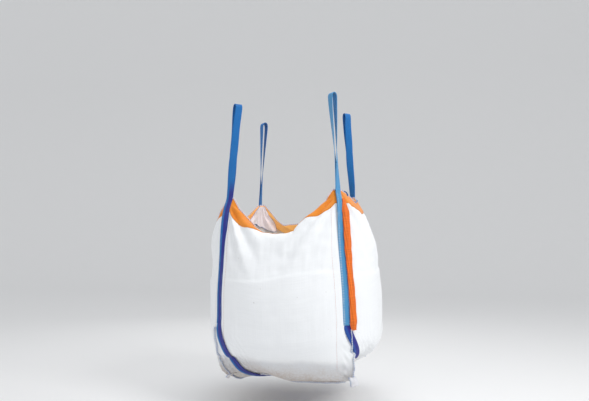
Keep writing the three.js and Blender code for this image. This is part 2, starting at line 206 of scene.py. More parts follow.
def spline(points):
    """Points in metres of a smooth curve through points in mm, one unit of station apart."""
    table = np.array(points, float) / 1000

    def at(station):
        station = np.clip(np.asarray(station, float), 0, len(table) - 1)
        low = np.minimum(station.astype(int), len(table) - 2)
        t = (station - low)[..., None]
        before, p, q = table[np.maximum(low - 1, 0)], table[low], table[low + 1]
        after = table[np.minimum(low + 2, len(table) - 1)]
        leave, arrive = (q - before) / 2, (after - p) / 2
        cubic = 2 * p - 2 * q + leave + arrive
        square = -3 * p + 3 * q - 2 * leave - arrive
        return ((cubic * t + square) * t + leave) * t + p
    return at


def ripple(points, scale, seed):
    """Smooth noise from about -1 to 1, with waves about as long as scale."""
    rng = np.random.RandomState(seed)
    total = np.zeros(points.shape[:-1])
    waves = 12
    for wave in range(waves):
        direction = unit(rng.normal(size=3))
        frequency = 2 * math.pi / scale * rng.uniform(0.6, 1.5)
        total += np.sin(points @ direction * frequency + rng.uniform(0, 2 * math.pi))
    return total / math.sqrt(2 * waves)


# ---- the wall of the bag, as in the CAD model ----

corner_lines = [spline(line) for line in CORNER_LINES]
face_lines = [spline(line) for line in FACE_LINES]
sling_line = spline(SLING_LINE)


def pick(lines, index, station):
    """A point of the line that each index names, at each station."""
    every = np.stack([line(station) for line in lines])
    return np.take_along_axis(every, index[None, ..., None], axis=0)[0]


def paired(turn, station):
    """Turn and station as arrays of one shape."""
    return np.broadcast_arrays(np.asarray(turn, float), np.asarray(station, float))


def side_place(turn):
    """The side that each turn lies on, and its place across that side from -1 to 1."""
    wrapped = turn % 4
    side = np.minimum(3, np.floor(wrapped)).astype(int)
    return side, 2 * (wrapped - side) - 1


def past(turn, other):
    """How far a turn lies past another, from -2 to 2."""
    return (turn - other + 2) % 4 - 2


def base_seam(turn):
    across = np.abs(2 * (turn - np.floor(turn)) - 1)
    return mix(BASE_SEAM[0], BASE_SEAM[1], across ** 3)


def strap_turn(corner, station):
    return corner + STRAP_SHIFT[corner % 4] * ease((TOP - 0.1 - station) / 2.6)


def sling_turn(corner, station):
    """Turn of a strap, and of the sling that it becomes."""
    away = ease((SLING_START - station) / 1.9)
    return mix(strap_turn(corner, station), corner + SLING_SHIFT[corner % 4], away)


def on_side(side, along, out, height):
    facing = np.radians(-90 + 90 * side)
    across = np.cos(facing) * out - np.sin(facing) * along
    back = np.sin(facing) * out + np.cos(facing) * along
    return np.stack(np.broadcast_arrays(across, back, height), axis=-1)


def loose_wall(turn, station):
    """The bag's shape as the load alone would give it, and the distance to the nearest strap."""
    turn, station = paired(turn, station)
    side, across = side_place(turn)
    nearest = np.round(turn % 4).astype(int) % 4
    corner = pick(corner_lines, nearest, station)
    face = pick(face_lines, side, station)

    strapped = ease((station - 5) / 2)
    rounding = CORNER_ROUND * strapped
    half = corner[..., 0] + rounding / 4
    to_corner = (1 - np.abs(across)) * half
    near = np.maximum(0, 1 - to_corner / np.maximum(rounding, 1e-6))
    pull = CORNER_PULL * rounding * near ** 2
    reach = np.minimum(1, np.abs(across) * half / (half - STRAP_SEAT * strapped + 1e-6))
    levels = RISE[side, (across >= 0).astype(int)]
    band, rim = ease((station - 9.7) / 1.3), ease(station - 11)
    start = mix(levels[..., 0, 0] * band, levels[..., 1, 0], rim)
    power = mix(mix(2, levels[..., 0, 1], band), levels[..., 1, 1], rim)
    lifted = np.clip((reach - start) / (1 - start), 0, 1) ** power
    along = across * half - np.sign(across) * pull * math.sqrt(0.5)
    out = mix(half, face[..., 0], 1 - reach ** BULGE) - pull * math.sqrt(0.5)
    height = mix(face[..., 1], corner[..., 1], lifted)
    to_strap = np.abs(past(turn % 4, sling_turn(nearest, station))) * 2 * half
    return on_side(side, along, out, height), to_strap


def sling_point(corner, station):
    turn = sling_turn(corner, station)
    across = 2 * (turn - corner) - 1
    line = sling_line(np.minimum(station, 5))
    pressed = on_side(corner, across * line[..., 0], line[..., 0], line[..., 1])
    return mix(pressed, loose_wall(turn, station)[0], ease(station - 5)[..., None])


def wall(turn, station):
    """The bag's outer surface with the slings' dents, and the distance to the nearest webbing."""
    turn, station = paired(turn, station)
    point, to_webbing = loose_wall(turn, station)
    low = station < SLING_START
    dent = np.zeros(point.shape)
    total = np.zeros(station.shape)
    nearest = np.full(station.shape, 9.0)
    for corner in range(4):
        sling = sling_turn(corner, station)
        under = loose_wall(sling, station)[0]
        distance = np.linalg.norm(point - under, axis=-1)
        reach = np.where(past(turn, sling) > 0, *DENT_REACH[corner][::-1])
        share = 1 - ease((distance - SEAT) / reach)
        dent += (sling_point(corner, station) - under) * share[..., None]
        total += share
        nearest = np.minimum(nearest, distance)
    dent /= np.maximum(1, total)[..., None]
    point = np.where(low[..., None], point + dent, point)
    to_webbing = np.where(low, nearest, to_webbing)
    return point, to_webbing


def normals(turn, station):
    step_turn, step_station = 0.004, 0.03
    station = np.asarray(station, float)
    up = np.minimum(station + step_station, TOP)
    down = np.maximum(station - step_station, 0.02)
    across = wall(turn + step_turn, station)[0] - wall(turn - step_turn, station)[0]
    along = wall(turn, up)[0] - wall(turn, down)[0]
    return unit(np.cross(across, along))


# ---- folds and wrinkles ----

# Folds that fan out of the ears, by panel and ear (-1 left, 1 right): angle from straight down in
# degrees towards the panel's middle, height in mm, half width in mm where it is widest, length
EAR_FOLDS = {
    (0, -1): [(7, 7, 20, 0.5), (15, -8, 18, 0.52), (22, 11, 24, 0.56), (32, -10, 26, 0.52),
        (43, 8, 24, 0.42), (54, -6, 20, 0.36)],
    (0, 1): [(10, 4, 20, 0.55), (24, -5, 24, 0.52), (34, 8, 24, 0.6), (42, -8, 22, 0.56),
        (50, 8, 20, 0.5), (58, -6, 16, 0.4)],
    (1, -1): [(12, 7, 20, 0.45), (22, -10, 22, 0.58), (33, 11, 24, 0.62), (44, -8, 20, 0.5)],
    (1, 1): [(16, -8, 22, 0.5), (27, 10, 24, 0.58), (40, -9, 24, 0.5)],
    (2, -1): [(10, -8, 20, 0.5), (20, 10, 24, 0.6), (33, -10, 24, 0.55), (46, 7, 20, 0.42)],
    (2, 1): [(14, 8, 22, 0.5), (26, -10, 24, 0.6), (38, 10, 22, 0.52), (52, -6, 18, 0.4)],
    (3, -1): [(12, 8, 20, 0.52), (23, -9, 22, 0.6), (36, 9, 24, 0.52)],
    (3, 1): [(10, 7, 22, 0.5), (22, -9, 22, 0.56), (34, 10, 24, 0.56), (48, -7, 20, 0.4)],
}


def ear_folds(side, along, height):
    """Height of the folds that hang from a panel's two ears."""
    total = np.zeros(along.shape)
    every = [(*ear, *fold) for ear, group in EAR_FOLDS.items() for fold in group]
    for panel, hand, angle, tall, wide, long in every:
        angle = math.radians(angle)
        x, y = EAR[0] - hand * along, EAR[1] - height
        forward = x * math.sin(angle) + y * math.cos(angle)
        aside = x * math.cos(angle) - y * math.sin(angle)
        # a fold bows down under its own weight on its way to the middle
        aside = aside + 0.16 * forward ** 2 * math.sin(angle)
        width = wide / 1000 * (0.25 + 0.75 * ease(forward / 0.3))
        fading = ease((forward - 0.6 * long) / (0.45 * long))
        strength = ease((forward - 0.02) / 0.1) * (1 - fading)
        total += (side == panel) * tall / 1000 * bell(aside, width) * strength
    return total


def pocket_folds(turn, station, to_webbing):
    """Wrinkles of the slack pockets beside the slings, between the sling and the corner seam."""
    total = np.zeros(station.shape)
    for corner in range(4):
        away = past(turn, corner)
        shift = SLING_SHIFT[corner]
        beside = ease((away + 0.1) / 0.06) * (1 - ease((away - shift - 0.1) / 0.08))
        low = ease((station - 2.2) / 0.8) * (1 - ease((station - 5.6) / 1.0))
        waves = np.sin(2 * math.pi * (to_webbing / 0.034 + 0.25 * np.sin(station * 3.1 + corner)))
        across = np.sin(2 * math.pi * (station * 1.9 + away * 5 + 0.2 * corner))
        total += (0.0034 * waves + 0.0022 * across) * beside * low
    return total


def pleats(side, across, station):
    """Short pleats where a panel is gathered into the lower end of its corner seam."""
    to_corner = (1 - np.abs(across)) * 0.44
    fan = np.arctan2(station - 4.1, to_corner / 0.11)
    near = bell(np.hypot((station - 4.1) * 0.11, to_corner), 0.085)
    return 0.0045 * np.sin(fan * 11 + side * 1.7 + np.sign(across)) * near * ease(to_corner / 0.02)


def folds(turn, station):
    point, to_webbing = wall(turn, station)
    turn, station = paired(turn, station)
    side, across = side_place(turn)
    height = point[..., 2]
    along = across * corner_lines[0](station)[..., 0]

    level = FILL_HEIGHT + 0.012 * np.sin(6.0 * along + 1.3 * side)
    level = level - 0.018 * bell(along + 0.12, 0.16)
    slack = ease((height - level) / 0.05)
    total = 1.45 * ear_folds(side, along, height) * (0.2 + 0.8 * slack)
    total -= 0.007 * ease((height - level) / 0.022) * (1 - ease((height - level - 0.05) / 0.2))
    total -= 0.016 * slack * bell(along + 0.07, 0.15) * bell(height + 1.04, 0.1) * (side == 0)
    total += 0.0026 * ripple(point, 0.26, 3) * (1 - slack)
    total += 0.0022 * ripple(point, 0.11, 5) * slack + 0.0009 * ripple(point, 0.05, 6) * slack
    total += 0.0007 * ripple(point, 0.07, 8)
    # faint swags between the slings under the fullest part of the belly
    swag = np.sin((height + 1.62 - 0.35 * along ** 2) * 42)
    total += 0.0011 * swag * bell(height + 1.56, 0.14)
    total += pocket_folds(turn, station, to_webbing)
    total += pleats(side, across, station) * (station < 6.5)
    held = ease((to_webbing - 0.026) / 0.045)
    return total * held


def skin(turn, station, offset=0.0):
    """A point of the wrinkled cloth, moved out by offset, as it hangs."""
    point, _ = wall(turn, station)
    height = np.asarray(folds(turn, station) + offset)
    return hang(point + normals(turn, station) * height[..., None])


def hang(points):
    """The upper part leans, and the belly swings a little towards +X."""
    upper = ease((points[..., 2] + 1.75) / 0.9)
    lean = np.zeros(points.shape)
    lean[..., 0] = SWAY * (1 - upper)
    lean[..., 2] = LEAN * points[..., 0] * upper
    return points + lean


# ---- meshes ----

def new_object(name, vertices, faces, uvs=None, smooth=True):
    mesh = bpy.data.meshes.new(name)
    vertices = np.asarray(vertices, float).reshape(-1, 3)
    mesh.from_pydata(vertices.tolist(), [], faces if isinstance(faces, list) else faces.tolist())
    if uvs is not None:
        layer = mesh.uv_layers.new(name="cloth")
        corners = np.zeros(len(mesh.loops), int)
        mesh.loops.foreach_get("vertex_index", corners)
        layer.data.foreach_set("uv", np.asarray(uvs, float).reshape(-1, 2)[corners].ravel())
    if smooth:
        mesh.polygons.foreach_set("use_smooth", [True] * len(mesh.polygons))
    return linked(name, mesh)


def grid_faces(rows, columns, start=0):
    """Quads of a grid of points, rows x columns points, facing up where columns run along +X."""
    index = start + np.arange(rows * columns).reshape(rows, columns)
    low, high = index[:-1], index[1:]
    return np.stack([low[:, :-1], low[:, 1:], high[:, 1:], high[:, :-1]], axis=-1).reshape(-1, 4)


def swept_faces(count, size, start=0):
    """Quads of a ring of size points swept through count places, and its two end caps."""
    index = start + np.arange(count * size).reshape(count, size)
    after = np.roll(index, -1, axis=1)
    quads = np.stack([index[:-1], after[:-1], after[1:], index[1:]], axis=-1)
    return quads.reshape(-1, 4).tolist() + [index[0, ::-1].tolist(), index[-1].tolist()]


def lengths(points, axis=0):
    """Running length of a grid of points along an axis."""
    steps = np.diff(points, axis=axis, prepend=np.take(points, [0], axis))
    return np.cumsum(np.linalg.norm(steps, axis=-1), axis=axis)


def cloth_uvs(points):
    """Metres of cloth across from the middle column, and up from the first row."""
    across = lengths(points, 1)
    middle = across[:, across.shape[1] // 2][:, None]
    return np.stack([across - middle, lengths(points)], axis=-1)


def sheet_object(name, near, far):
    """A closed sheet of cloth between two grids of points, the near one facing out of the bag."""
    rows, columns = near.shape[:2]
    count = rows * columns
    index = np.arange(count).reshape(rows, columns)
    ring = np.concatenate([index[0, :-1], index[:-1, -1], index[-1, :0:-1], index[:0:-1, 0]])
    after = np.roll(ring, -1)
    edge = np.stack([after, ring, ring + count, after + count], axis=-1)
    back = grid_faces(rows, columns, count)[:, ::-1]
    faces = np.concatenate([grid_faces(rows, columns), back, edge])
    uvs = np.tile(cloth_uvs(near).reshape(-1, 2), (2, 1))
    return new_object(name, np.stack([near, far]), faces, uvs)


def ribbon_object(name, centres, sides, width, thickness, drop=0.0, columns=8):
    """Webbing swept along centres: sides point across it, and its edges drop towards its back."""
    forward = unit(np.gradient(centres, axis=0))
    sides = unit(sides - forward * np.sum(sides * forward, axis=-1, keepdims=True))
    faces_out = unit(np.cross(sides, forward)) * -1
    half, edge = width / 2, thickness / 2
    across = np.linspace(-1, 1, columns + 1)
    top = np.stack([across * (half - edge / 2), np.full(columns + 1, edge)], axis=-1)
    ring = np.concatenate([top, [(half, 0)], top[::-1] * (1, -1), [(-half, 0)]])
    drop = np.broadcast_to(np.asarray(drop, float), (len(centres),))
    lift = ring[None, :, 1] - drop[:, None] * (ring[None, :, 0] / half) ** 2
    points = (centres[:, None] + sides[:, None] * ring[None, :, :1]
              + faces_out[:, None] * lift[..., None])
    uvs = np.stack(np.broadcast_arrays(ring[None, :, 0], lengths(centres)[:, None]), axis=-1)
    return new_object(name, points, swept_faces(len(centres), len(ring)), uvs)


def thread_object(name, paths, radius, sides):
    """Round threads along each path, with closed ends."""
    points, faces, uvs, start = [], [], [], 0
    angles = np.arange(sides) * 2 * math.pi / sides
    for path in paths:
        forward = unit(np.gradient(path, axis=0))
        guess = np.where(np.abs(forward[:, 2:3]) < 0.9, (0.0, 0.0, 1.0), (1.0, 0.0, 0.0))
        one = unit(np.cross(forward, guess))
        other = np.cross(forward, one)
        ring = (one[:, None] * np.cos(angles)[None, :, None]
                + other[:, None] * np.sin(angles)[None, :, None])
        points.append((path[:, None] + ring * radius).reshape(-1, 3))
        faces += swept_faces(len(path), sides, start)
        around = np.broadcast_arrays(angles * radius, lengths(path)[:, None])
        uvs.append(np.stack(around, axis=-1).reshape(-1, 2))
        start += len(path) * sides
    return new_object(name, np.concatenate(points), faces, np.concatenate(uvs))


def points_at(path, run, at):
    """The points of a path, or the directions along it, at the running lengths in at."""
    return np.stack([np.interp(at, run, path[:, k]) for k in range(3)], axis=-1)


def resample(points, spacing):
    """The same path with points an even distance apart."""
    run = lengths(points)
    count = max(2, int(round(run[-1] / spacing)) + 1)
    return points_at(points, run, np.linspace(0, run[-1], count))


def overlock(path, outward, height, half_thickness, pitch):
    """A thread that winds round a standing edge: path is the edge's root, outward its height."""
    run = lengths(path)
    at = np.linspace(0, run[-1], int(run[-1] / (pitch / WINDING_STEPS)))
    root, up = points_at(path, run, at), unit(points_at(outward, run, at))
    aside = unit(np.cross(unit(np.gradient(root, axis=0)), up))
    angle = 2 * math.pi * at / pitch
    tall = height * (0.62 + 0.42 * np.cos(angle))
    return root + up * tall[:, None] + aside * (half_thickness * np.sin(angle))[:, None]


def dashes(path):
    """Separate stitches along a path."""
    run = lengths(path)
    starts = np.arange(0, run[-1] - STITCH, STITCH + STITCH_GAP)
    return [points_at(path, run, np.linspace(start, start + STITCH, 4)) for start in starts]


def zigzag(path, side, width, pitch):
    """A wavy line along a path."""
    run = lengths(path)
    at = np.linspace(0, run[-1], int(run[-1] / (pitch / WINDING_STEPS)))
    swing = np.arcsin(np.sin(2 * math.pi * at / pitch)) * 2 / math.pi
    return points_at(path, run, at) + points_at(side, run, at) * (swing * width / 2)[:, None]


# ---- materials ----

def srgb(red, green, blue):
    """Linear colour of a display colour given from 0 to 255."""
    values = np.array([red, green, blue], float) / 255
    linear = np.where(values <= 0.04045, values / 12.92, ((values + 0.055) / 1.055) ** 2.4)
    return (*linear.tolist(), 1.0)


def toned(colour, factor, added=0.0):
    """A darker or paler tone of a colour."""
    return (*(min(1.0, c * factor + added) for c in colour[:3]), 1)


def new_material(name, colour, roughness, sheen=0.0):
    material = bpy.data.materials.new(name)
    material.use_nodes = True
    inputs = material.node_tree.nodes["Principled BSDF"].inputs
    for socket, value in [("Base Color", (*colour[:3], 1)), ("Roughness", roughness),
                          ("Sheen Weight", sheen), ("Sheen Roughness", SHEEN_ROUGHNESS),
                          ("Specular IOR Level", SPECULAR)]:
        inputs[socket].default_value = value
    return material, Graph(material.node_tree, inputs)


class Graph:
    """Short names for the nodes that the materials use. Each call returns its output socket."""

    def __init__(self, tree, inputs):
        self.tree, self.inputs = tree, inputs

    def node(self, kind, output=0, settings=None, **inputs):
        node = self.tree.nodes.new("ShaderNode" + kind)
        for key, value in (settings or {}).items():
            setattr(node, key, value)
        for key, value in inputs.items():
            socket = node.inputs[int(key[1:])] if key[0] == "_" else node.inputs[key]
            if isinstance(value, bpy.types.NodeSocket):
                self.tree.links.new(value, socket)
            else:
                socket.default_value = value
        return node.outputs[output]

    def math(self, operation, a, b=0.0):
        return self.node("Math", settings={"operation": operation}, _0=a, _1=b)

    def times(self, a, b):
        return self.math("MULTIPLY", a, b)

    def sine(self, value, turn):
        return self.math("SINE", self.times(value, turn))

    def split(self, vector):
        return self.node("SeparateXYZ", output=slice(3), Vector=vector)

    def uv(self):
        return self.node("UVMap", settings={"uv_map": "cloth"})

    def place(self):
        return self.node("TexCoord", output="Object")

    def stretched(self, vector, x, y):
        return self.node("Mapping", Vector=vector, Scale=(x, y, 1))

    def noise(self, vector, scale, detail=2.0):
        return self.node("TexNoise", Vector=vector, Scale=scale, Detail=detail)

    def ramp(self, value, low, high, start=0.0, end=1.0):
        limits = {"From Min": low, "From Max": high, "To Min": start, "To Max": end}
        smooth = {"interpolation_type": "SMOOTHSTEP"}
        return self.node("MapRange", settings=smooth, Value=value, **limits)

    def blend(self, share, a, b):
        return self.node("Mix", output=2, settings={"data_type": "RGBA"}, _0=share, _6=a, _7=b)

    def tint(self, base, colour, value, *limits):
        """The base, going over to a colour as value runs through a ramp's limits."""
        return self.blend(self.ramp(value, *limits), base, colour)

    def bump(self, height, distance, strength, **under):
        return self.node("Bump", Strength=strength, Distance=distance, Height=height, **under)

    def put(self, socket, value):
        self.tree.links.new(value, self.inputs[socket])


def woven(name, colour, roughness=0.62, sheen=0.25, streak=0.05, tone=None, low_brown=0.0, painted_glow=0.0):
    """Woven polypropylene tape: weave, pale and dark tapes, soft creases, a brown tint low down,
    and painted light: shade below the fill line and a glow.
    """
    material, graph = new_material(name, colour, roughness, sheen)
    uv, place = graph.uv(), graph.place()
    u, v, _ = graph.split(uv)
    over = graph.times(graph.sine(u, math.pi / TAPE), graph.sine(v, math.pi / TAPE))
    height = graph.math("MULTIPLY_ADD", over, 0.5)
    warp = graph.noise(graph.stretched(uv, 260, 3), 1.0)
    weft = graph.noise(graph.stretched(uv, 3, 260), 1.0)
    tapes = graph.math("ADD", graph.times(warp, 0.5), graph.times(weft, 0.5))
    base = graph.tint(toned(colour, 1 - 2.2 * streak), colour, tapes, 0.35, 0.65)
    base = graph.tint(base, toned(colour, 0.6), over, -0.6, 0.6, 0.0, 0.05)
    mottle = graph.noise(place, 7.0, 4.0)
    base = graph.tint(base, toned(colour, 0.9), mottle, 0.35, 0.75, 0.0, 0.22)
    z = graph.split(place)[2]
    if tone is not None:
        # painted light: above the contents the slack cloth is painted paler, for light that comes
        # through it, and below the fill line it takes the darker shaded tone
        edge = graph.math("MULTIPLY_ADD", graph.noise(place, 5.0), 0.05)
        level = graph.math("ADD", z, edge)
        base = graph.tint(tone, base, level, FILL_HEIGHT - 0.01, FILL_HEIGHT + 0.03)
    # brown towards the bottom of the bag, with dark specks
    if low_brown:
        grain, patch = graph.noise(place, 90.0, 6.0), graph.noise(place, 6.0, 3.0)
        amount = graph.times(graph.ramp(z, -1.64, -1.87), graph.ramp(patch, 0.25, 0.7, 0.35, 1.0))
        amount = graph.times(amount, graph.ramp(grain, 0.3, 0.62, 0.45, 1.0))
        base = graph.blend(graph.times(amount, low_brown), base, srgb(164, 128, 86))
        specks = graph.noise(place, 60.0, 1.0)
        base = graph.tint(base, srgb(120, 105, 95), specks, 0.79, 0.83, 0.0, 0.5)
    graph.put("Base Color", base)
    # painted light: the cloth gives off its own colour as light, standing in for light that comes
    # through the thin cloth
    graph.put("Emission Color", base)
    graph.inputs["Emission Strength"].default_value = painted_glow
    graph.put("Roughness", graph.ramp(mottle, 0.3, 0.7, roughness - 0.06, roughness + 0.1))
    creases = graph.bump(graph.noise(place, 34.0, 5.0), 0.0016, 0.5)
    graph.put("Normal", graph.bump(height, 0.00022, 0.7, Normal=creases))
    return material


def webbing(name, light, dark, edge_from, fade, ladder=False):
    """Ribbed webbing, in the dark tone right of edge_from across it and below fade along it."""
    material, graph = new_material(name, light, 0.56, 0.08)
    uv = graph.uv()
    u, v, _ = graph.split(uv)
    ribs, picks = graph.sine(u, 2 * math.pi / RIB), graph.sine(v, 2 * math.pi / PICK)
    twill = graph.sine(graph.math("ADD", u, v), 2 * math.pi / TWILL)
    height = graph.math("ADD", ribs, graph.times(picks, 0.6))
    height = graph.math("ADD", height, graph.times(twill, 0.4))
    across = graph.ramp(u, edge_from - 0.004, edge_from + 0.004)
    down = graph.ramp(v, fade + 0.06, fade - 0.06)
    base = graph.blend(graph.times(across, down), light, dark)
    wear = graph.noise(graph.stretched(uv, 240, 22), 1.0, 4.0)
    base = graph.tint(base, toned(light, 1.5, 0.05), wear, 0.56, 0.84, 0.0, 0.22)
    # painted shade: the hollows between the ribs are darkened
    base = graph.tint(base, toned(dark, 0.45), height, -1.4, -0.4, 0.35, 0.0)
    if ladder:
        rungs = graph.ramp(graph.sine(v, 2 * math.pi / RUNG), 0.0, 0.7, 0.0, 0.45)
        rungs = graph.times(rungs, graph.ramp(u, -0.006, -0.014))
        base = graph.blend(graph.times(rungs, down), base, srgb(205, 228, 240))
    graph.put("Base Color", base)
    graph.put("Roughness", graph.ramp(wear, 0.3, 0.8, 0.42, 0.66))
    graph.put("Normal", graph.bump(height, 0.0006, 0.9))
    return material


def thread(name, colour, pale):
    """Twisted sewing thread, paler in places."""
    material, graph = new_material(name, colour, 0.6, 0.3)
    u, v, _ = graph.split(graph.uv())
    twist = graph.sine(graph.math("ADD", u, v), 2600.0)
    base = graph.tint(colour, pale, graph.noise(graph.place(), 26.0), 0.45, 0.62)
    # painted shade: the grooves of the twist are darkened
    base = graph.tint(base, toned(colour, 0.4), twist, -1.0, 1.0, 0.25, 0.0)
    graph.put("Base Color", base)
    graph.put("Normal", graph.bump(twist, 0.0004, 0.8))
    return material


def granular(name):
    """Dry mixed sand and gravel."""
    material, graph = new_material(name, srgb(176, 152, 116), 0.92)
    place = graph.place()
    fine = graph.noise(place, 420.0, 4.0)
    stones = graph.node("TexVoronoi", output="Color", Vector=place, Scale=110.0)
    base = graph.tint(srgb(142, 118, 84), srgb(205, 184, 148), fine, 0.3, 0.7)
    base = graph.tint(base, srgb(120, 110, 98), graph.split(stones)[0], 0.55, 0.95, 0.0, 0.6)
    damp = graph.noise(place, 5.0, 3.0)
    base = graph.tint(base, srgb(104, 84, 58), damp, 0.5, 0.75, 0.0, 0.35)
    graph.put("Base Color", base)
    graph.put("Normal", graph.bump(fine, 0.004, 0.8))
    return material


WHITE = srgb(248, 250, 252)
# painted shade: the panel cloth's colour below the fill line
SHADED_GREY = srgb(221, 224, 228)
BLUE = srgb(16, 116, 192)
NAVY = srgb(44, 50, 150)
LIT_PALE_BLUE = srgb(84, 162, 216)

cloth = woven("panel_cloth", WHITE, tone=SHADED_GREY, streak=0.02, low_brown=0.8)
# painted light: a paler copy of the panel cloth for the right and back panels, with less painted
# shade below the fill line
lit_cloth = woven("lit_side_panel_cloth", WHITE, tone=srgb(240, 242, 245), streak=0.02, low_brown=0.55)
base_cloth = woven("base_cloth", srgb(230, 228, 225), roughness=0.74, low_brown=0.5)
# painted light: the ear patches glow a little, for light that comes through them
patch_cloth = woven("ear_patch_cloth", srgb(244, 236, 240), sheen=0.3, painted_glow=0.22)
band_cloth = woven("band_cloth", srgb(246, 148, 44), streak=0.1, sheen=0.2)
# painted light: the inside of the band is a paler peach than its outside and glows, for the light
# that falls on it and comes through it
lit_band_inner = woven("lit_band_inner_cloth", srgb(255, 190, 110), streak=0.05, sheen=0.2, painted_glow=0.3)
strip_cloth = woven("hanging_strip_cloth", srgb(255, 124, 34), streak=0.22, sheen=0.15)
hem_cloth = woven("hem_cloth", srgb(240, 222, 222), sheen=0.2)
seam_cloth = woven("seam_cloth", srgb(232, 234, 240), low_brown=0.3)
blue_thread = thread("blue_thread", srgb(44, 116, 205), srgb(150, 190, 232))
pink_thread = thread("pink_thread", srgb(232, 172, 164), srgb(240, 205, 200))
white_thread = thread("white_thread", srgb(232, 240, 246), srgb(150, 200, 232))
contents = granular("sand_and_gravel")
# painted light: the front right strap is a paler blue, for the light that falls on it; its pale
# rungs are the webbing's own pattern
webbings = [webbing(f"webbing_{name}", *tones) for name, tones in zip(CORNERS, [
    (BLUE, NAVY, -0.009, 0.9), (LIT_PALE_BLUE, srgb(36, 96, 176), 0.012, 0.62, True),
    (BLUE, srgb(24, 84, 160), 0.0, 0.9), (BLUE, NAVY, 0.004, 0.9),
])]
sling_webbings = [
    webbing("sling_webbing_upper", BLUE, NAVY, -0.009, 9.0),
    # painted shade: the lower sling is a darker blue, for the shade under the belly
    webbing("sling_webbing_lower", srgb(34, 84, 170), NAVY, -0.004, 9.0),
]


def finish_piece(piece, material, body="bag", replaces=()):
    """Gives a piece its finish, the body that it rides on and the CAD nodes that it stands for."""
    for item in material if isinstance(material, (list, tuple)) else [material]:
        piece.data.materials.append(item)
    if body:
        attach(piece, body)
    if replaces:
        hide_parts(*replaces)


def sew(name, paths, radius=THREAD, sides=5, material=blue_thread):
    finish_piece(thread_object(name, paths, radius, sides), material)


def standing_edge(name, root, out, height, pitch, wave=0):
    """A folded edge that stands out of the cloth, wound with thread."""
    edge = ribbon_object(f"{name}_edge", root + out * height / 2 + wave, out, height,
                         EDGE_THICKNESS, columns=4)
    finish_piece(edge, seam_cloth, replaces=[name])
    sew(f"{name}_thread", [overlock(root + wave, out, height, EDGE_THICKNESS, pitch)])


# ---- cloth: panels, base, bands, hems and patches ----

def spread_columns(count):
    """Places across a panel from 0 to 1, closer together towards its corners."""
    even = np.linspace(0, 1, count)
    return np.clip(mix(even, 0.5 - 0.5 * np.cos(math.pi * even), 0.4), 0.0006, 0.9994)


def make_panels():
    across = spread_columns(PANEL_COLUMNS)
    up = np.linspace(0, 1, PANEL_ROWS)[:, None]
    for side, name in enumerate(SIDES):
        turn = side + across[None, :]
        station = mix(base_seam(turn) + 0.02, TOP, up)
        outside, inside = skin(turn, station), skin(turn, station, -CLOTH)
        piece = sheet_object(f"panel_{name}_cloth", outside, inside)
        finish_piece(piece, cloth if name in ("front", "left") else lit_cloth,
                     replaces=[f"panel_{name}"])


def square_grid(count):
    """A square grid's place as turn and ring, the ring 0 in the middle and 1 on the edge."""
    line = np.linspace(-1, 1, count)
    x, y = np.meshgrid(line, line)
    ring = np.maximum(np.maximum(np.abs(x), np.abs(y)), 1e-6)
    x, y = x / ring, y / ring
    sides = [y <= -1 + 1e-9, x >= 1 - 1e-9, y >= 1 - 1e-9]
    return np.select(sides, [0.5 + x / 2, 1.5 + y / 2, 2.5 - x / 2], 3.5 - y / 2), ring


def make_base():
    turn, ring = square_grid(97)
    station = np.maximum(ring * (base_seam(turn) - 0.02), 0.01)
    outside, inside = skin(turn, station), skin(turn, station, -CLOTH)
    piece = sheet_object("base_panel_cloth", outside[:, ::-1], inside[:, ::-1])
    finish_piece(piece, base_cloth, replaces=["base_panel"])


def station_below_top(turn, depth):
    """The station that lies depth metres of cloth below the top edge."""
    station = np.linspace(TOP, 10.5, 120)[:, None]
    run = lengths(wall(turn, station)[0])
    return TOP - 1.5 * np.argmax(run > depth, axis=0) / 119


def make_bands():
    across = spread_columns(PANEL_COLUMNS)[None, :]
    rows = 16
    for side, name in enumerate(SIDES):
        turn = side + across
        rise = mix(station_below_top(turn, BAND_DEPTH), TOP, np.linspace(0, 1, rows)[:, None])

        def wrap(outer, inner, lift):
            out, back = skin(turn, rise, outer), skin(turn, rise, inner)[::-1]
            crest = np.stack([mix(out[-1], back[0], share) + (0, 0, lift) for share in (0.2, 0.8)])
            return np.concatenate([out, crest, back])
        gap = LAYER_GAP
        near = wrap(gap + BAND_CLOTH, -CLOTH - gap - BAND_CLOTH, gap + BAND_CLOTH)
        far = wrap(gap, -CLOTH - gap, gap)
        piece = sheet_object(f"top_band_{name}_cloth", near, far)
        finish_piece(piece, [band_cloth, lit_band_inner], replaces=[f"top_band_{name}"])
        columns = near.shape[1] - 1
        inner = np.zeros(len(piece.data.polygons), int)
        per_side = (len(near) - 1) * columns
        inner[:2 * per_side] = np.tile(np.arange(per_side) // columns >= rows, 2)
        piece.data.polygons.foreach_set("material_index", inner)

        rim = (near[rows] + near[rows + 1]) / 2 + (0, 0, 0.0005)
        path = resample(rim, 0.006)
        up = np.tile((0.0, 0.0, 1.0), (len(path), 1))
        hem = ribbon_object(f"top_hem_{name}_fold", path + up * 0.0035, up, 0.01, 0.006,
                            columns=4)
        finish_piece(hem, hem_cloth, replaces=[f"top_hem_{name}"])
        winding = overlock(path - up * 0.002, up, 0.0105, 0.0042, 0.016)
        sew(f"top_hem_{name}_thread", [winding], THREAD * 0.8)


